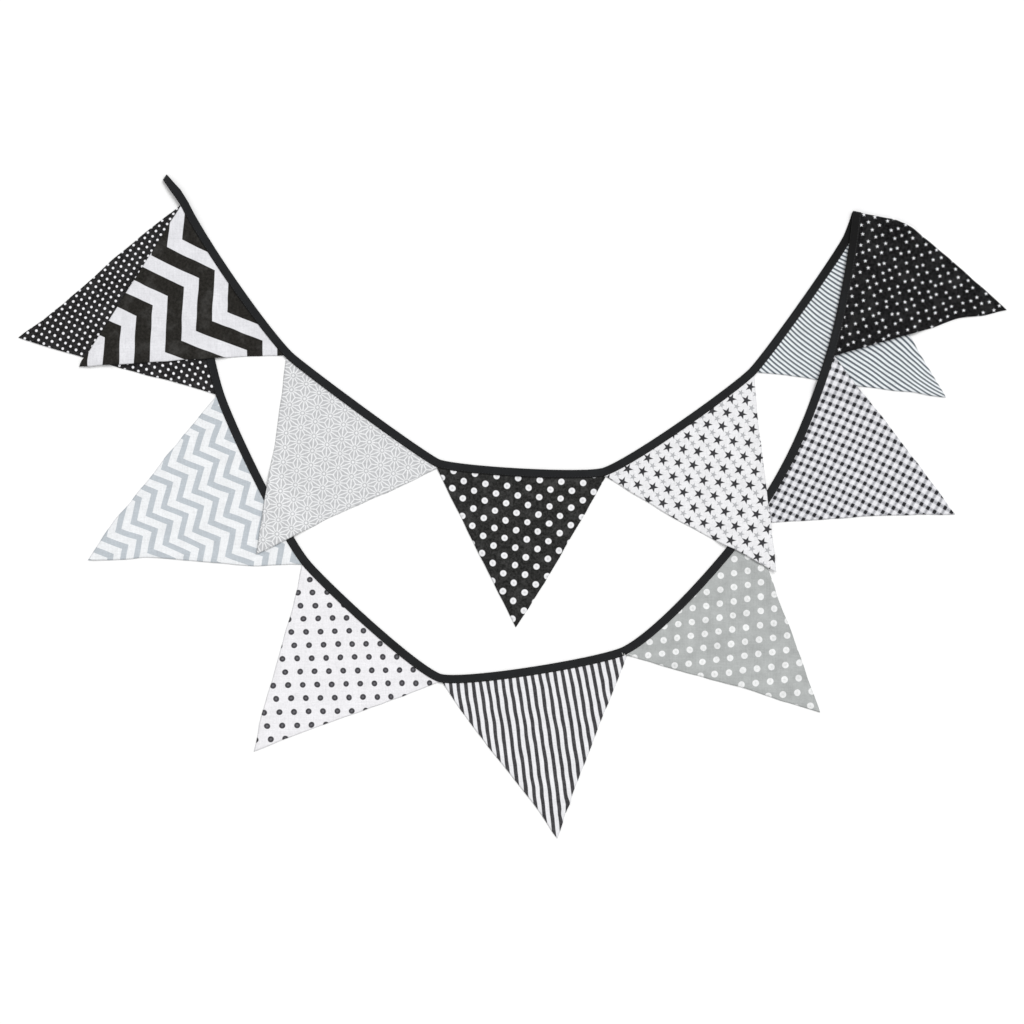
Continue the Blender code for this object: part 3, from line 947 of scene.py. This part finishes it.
def gingham_cotton():
    """Gingham, woven from dyed and white yarn: black where dyed yarns cross, pale grey where one does."""
    material, tree = new_finish("woven_cotton_gingham")
    place = print_place(tree, (328.1, 136.2), 0.0, (335.3, 41.4), (-0.05, -0.21, 0.47, 0.32, -0.61, -0.03))
    checks, cores = [], []
    for count in repeats(tree, place, (6.70, -3.08), (-3.88, -7.48)):
        measure = add(tree, "Math MULTIPLY", [count, 7.8])
        checks.append(bands(tree, measure, 7.8, 3.65, 0.4))
        cores.append(bands(tree, measure, 7.8, 1.1, 0.45))
    half = inked(tree, "#EDEDF1", "#C4C4C9", add(tree, "Math MAXIMUM", checks))
    half = inked(tree, half, "#9FA0A5", add(tree, "Math MAXIMUM", cores))
    full = add(tree, "Math MULTIPLY", checks)
    return woven(tree, material, inked(tree, half, "#222226", full))


def white_dots_on_grey_cotton():
    """Printed cotton poplin: mid grey ground, white dots of 6.5 mm, rumpled on the bias, the rumples' shade
    partly painted in by a strong cloudy mottle.
    """
    material, tree = new_finish("printed_cotton_white_dots_on_grey")
    place = print_place(tree, (222.2, -80.5), 0.0, (221.5, -123.7), (-0.11, 0.35, 0.41, 0.03, -0.54, 0.10))
    mask, pooled = dots(tree, place, (13.82, 2.11), (-0.83, -14.20), 6.5)
    white = inked(tree, "#EEEFEF", "#E0E2E1", pooled)
    # The strong cloudy mottle is partly random tone and partly painted shade of the rumples
    return woven(tree, material, inked(tree, "#B1B4B3", white, mask), cloudy=0.42)


def stripe_cotton():
    """Printed cotton poplin: even black and white stripes."""
    material, tree = new_finish("printed_cotton_stripe")
    place = print_place(tree, (-53.4, -191.9), 98.64, (28.0, -218.8), (-0.06, 0.27, 0.24, -0.42, -0.36, 0.15),
                        0.3)
    parts = add(tree, "SeparateXYZ", [place])
    mask = bands(tree, parts.outputs["Y"], 7.63, 3.7)
    colour = inked(tree, "#EDEDF0", uneven_dye(tree, "#2A292C", "#4D4C4F"), mask)
    return woven(tree, material, colour, haze=0.015)


def black_dots_cotton():
    """Printed cotton poplin: near-black dots of just under 6 mm on white."""
    material, tree = new_finish("printed_cotton_black_dots")
    place = print_place(tree, (-194.7, -111.6), 0.0, (-180.6, -159.5), (0.30, 0.03, -0.08, 0.08, -0.06, 0.13))
    mask, pooled = dots(tree, place, (14.36, 0.28), (2.80, -13.22), 5.95)
    dark = inked(tree, uneven_dye(tree, "#2E2D31", "#4E4D51"), "#6E6D72", pooled)
    return woven(tree, material, inked(tree, "#EFEEF1", dark, mask))


def grey_chevron_cotton():
    """Printed cotton poplin: pale grey zigzag lines on white."""
    material, tree = new_finish("printed_cotton_grey_chevron")
    place = print_place(tree, (-303.3, 62.7), -62.7, (-310.1, -1.1), (-0.15, 0.15, -0.62, -0.09, 0.26, 0.26))
    mask = bands(tree, zigzag(tree, place, 17.64, 15.37), 17.35, 7.6, 0.4)
    return woven(tree, material, inked(tree, "#EFF1F3", "#BFC6CC", mask))


def pin_dots_cotton():
    """Printed cotton poplin: small white dots of 2.5 mm on black."""
    material, tree = new_finish("printed_cotton_pin_dots")
    place = print_place(tree, (-364.6, 144.3), 0.0, (-374.1, 193.7), (0.08, 0.28, -0.43, 0.18, -0.05, 0.40))
    mask = dots(tree, place, (5.17, -3.73), (2.90, 5.57), 2.5)[0]
    colour = inked(tree, uneven_dye(tree, "#050405", "#383738"), "#F6F6F9", mask)
    return woven(tree, material, colour, 0.04, haze=0.012, gloss=0.07)


def binding_cotton():
    """Cotton bias binding, piece dyed black: a close matt weave, with painted shade near the fold of the
    string and along the tape's own folded edge.
    """
    material, tree = new_finish("dyed_cotton_binding")
    cloth = add(tree, "UVMap", uv_map="print")
    worn = add(tree, "TexNoise", {"Vector": cloth, "Scale": 60.0, "Detail": 3.0}, noise_dimensions="2D")
    colour = inked(tree, "#101113", "#1F2123", worn)
    # Painted shade: darker within a few centimetres of the fold of the string
    laid = add(tree, "TexCoord")
    from_fold = add(tree, "VectorMath DISTANCE", [laid.outputs["Object"], (*FOLD_AT, 0)])
    painted_fold_shade = within(tree, from_fold.outputs["Value"], 0.075, 0.055)
    colour = inked(tree, colour, "#050506", painted_fold_shade)
    # Painted shade along the tape's rounded folded edge
    across = add(tree, "SeparateXYZ", [cloth_map(tree)])
    folded = bands(tree, across.outputs["X"], 1000 * (TAPE_WIDE - TAPE_THICK / 2 + 0.0008), 1.7, 0.7)
    return woven(tree, material, inked(tree, colour, "#0B0B0C", folded), 0.1, 0.7, 0.82,
                 edge_shade_and_allowance=False)


def thread_finish(name, hollow_shade, crest_highlight):
    """Spun thread, a little glossier than cloth, with its ply showing, its hollows in painted shade and its
    crests in a painted highlight.
    """
    material, tree = new_finish(name)
    place = add(tree, "TexCoord")
    ply = add(tree, "TexWave", {"Vector": place.outputs["Object"], "Scale": 900.0, "Distortion": 2.0},
              bands_direction="DIAGONAL")
    # Painted shade in the ply's hollows and a painted highlight on its crests
    colour = inked(tree, hollow_shade, crest_highlight, ply.outputs["Fac"])
    bump = add(tree, "Bump", {"Strength": 0.4, "Distance": 0.00005, "Height": ply.outputs["Fac"]})
    shader = add(tree, "BsdfPrincipled", {
        "Base Color": colour, "Roughness": 0.55, "Normal": bump, "Sheen Weight": 0.2})
    add(tree, "OutputMaterial", [shader])
    return material


def floor_paper():
    """Seamless background paper: white, matt."""
    material, tree = new_finish("background_paper")
    place = add(tree, "TexCoord")
    grain = add(tree, "TexNoise", {"Vector": place.outputs["Object"], "Scale": 900.0, "Detail": 2.0})
    bump = add(tree, "Bump", {"Strength": 0.05, "Distance": 0.0001, "Height": grain})
    shader = add(tree, "BsdfPrincipled", {
        "Base Color": shade("#FDFDFD"), "Roughness": 0.9, "Normal": bump, "Specular IOR Level": 0.2})
    add(tree, "OutputMaterial", [shader])
    return material


FINISHES = (broad_chevron_cotton, hemp_leaf_cotton, white_dots_cotton, two_tone_stars_cotton,
            pinstripe_cotton, scattered_stars_cotton, gingham_cotton, white_dots_on_grey_cotton,
            stripe_cotton, black_dots_cotton, grey_chevron_cotton, pin_dots_cotton)


# The whole object


def make_bunting():
    """Every flag, the tape, its stitching and a few frayed threads, each made as a piece riding on the
    object, with the solids of the tape and flags hidden.
    """
    seams = seam_curves()
    outlines = row_outlines(seams)
    beneath = [[outline for number in flag.over for outline in outlines[number - 1]] for flag in FLAGS]
    sections = tape_sections(seams, beneath)
    strip, run = make_tape(sections)
    tape = finished("binding_tape_folded", strip, binding_cotton())
    leaf = tape.modifiers.new("Leaf", "SOLIDIFY")
    leaf.thickness = TAPE_LEAF
    leaf.offset = 0.0
    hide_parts("binding_tape")
    stitches = finished("tape_stitching", make_stitches(sections, run),
                        thread_finish("polyester_sewing_thread", "#161719", "#2C2D30"))
    frayed = finished("frayed_threads", make_frayed(),
                      thread_finish("loose_cotton_thread", "#D8D9D8", "#F4F4F3"))
    for index, flag in enumerate(FLAGS):
        cloth = make_flag(index, seams[index], beneath[index])
        piece = finished(flag.name + "_cloth", cloth, FINISHES[index]())
        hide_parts(flag.name)


# The studio: light from all round and from the softbox, and the frame that the camera takes in
SKY = 0.64
SOFTBOX = 1.81
SOFTBOX_SPREAD = 32
SOFTBOX_TURN = (-32, 29, 0)
LENS = 85
SENSOR = 36
CAMERA_OVER = (-0.0005, -0.0055)
FRAME_WIDE = 1.024
FRAMED_HEIGHT = 0.001


def make_studio():
    """A white floor, soft light from above and a camera straight over the object."""
    floor = bmesh.new()
    bmesh.ops.create_grid(floor, x_segments=2, y_segments=2, size=8.0)
    shaped("floor", floor, floor_paper())
    scene = bpy.context.scene
    scene.world = bpy.data.worlds.new("studio")
    scene.world.use_nodes = True
    sky = scene.world.node_tree.nodes["Background"]
    sky.inputs["Color"].default_value = (1.0, 1.0, 1.0, 1.0)
    sky.inputs["Strength"].default_value = SKY
    lamp = bpy.data.lights.new("softbox", "SUN")
    lamp.energy = SOFTBOX
    lamp.angle = math.radians(SOFTBOX_SPREAD)
    linked("softbox", lamp).rotation_euler = [math.radians(turn) for turn in SOFTBOX_TURN]
    lens = bpy.data.cameras.new("camera")
    lens.lens = LENS
    lens.sensor_width = SENSOR
    lens.clip_end = 20
    scene.camera = linked("camera", lens)
    scene.camera.location = (*CAMERA_OVER, FRAME_WIDE * LENS / SENSOR + FRAMED_HEIGHT)
    scene.view_settings.view_transform = "Standard"


make_studio()
make_bunting()

bpy.context.view_layer.update()
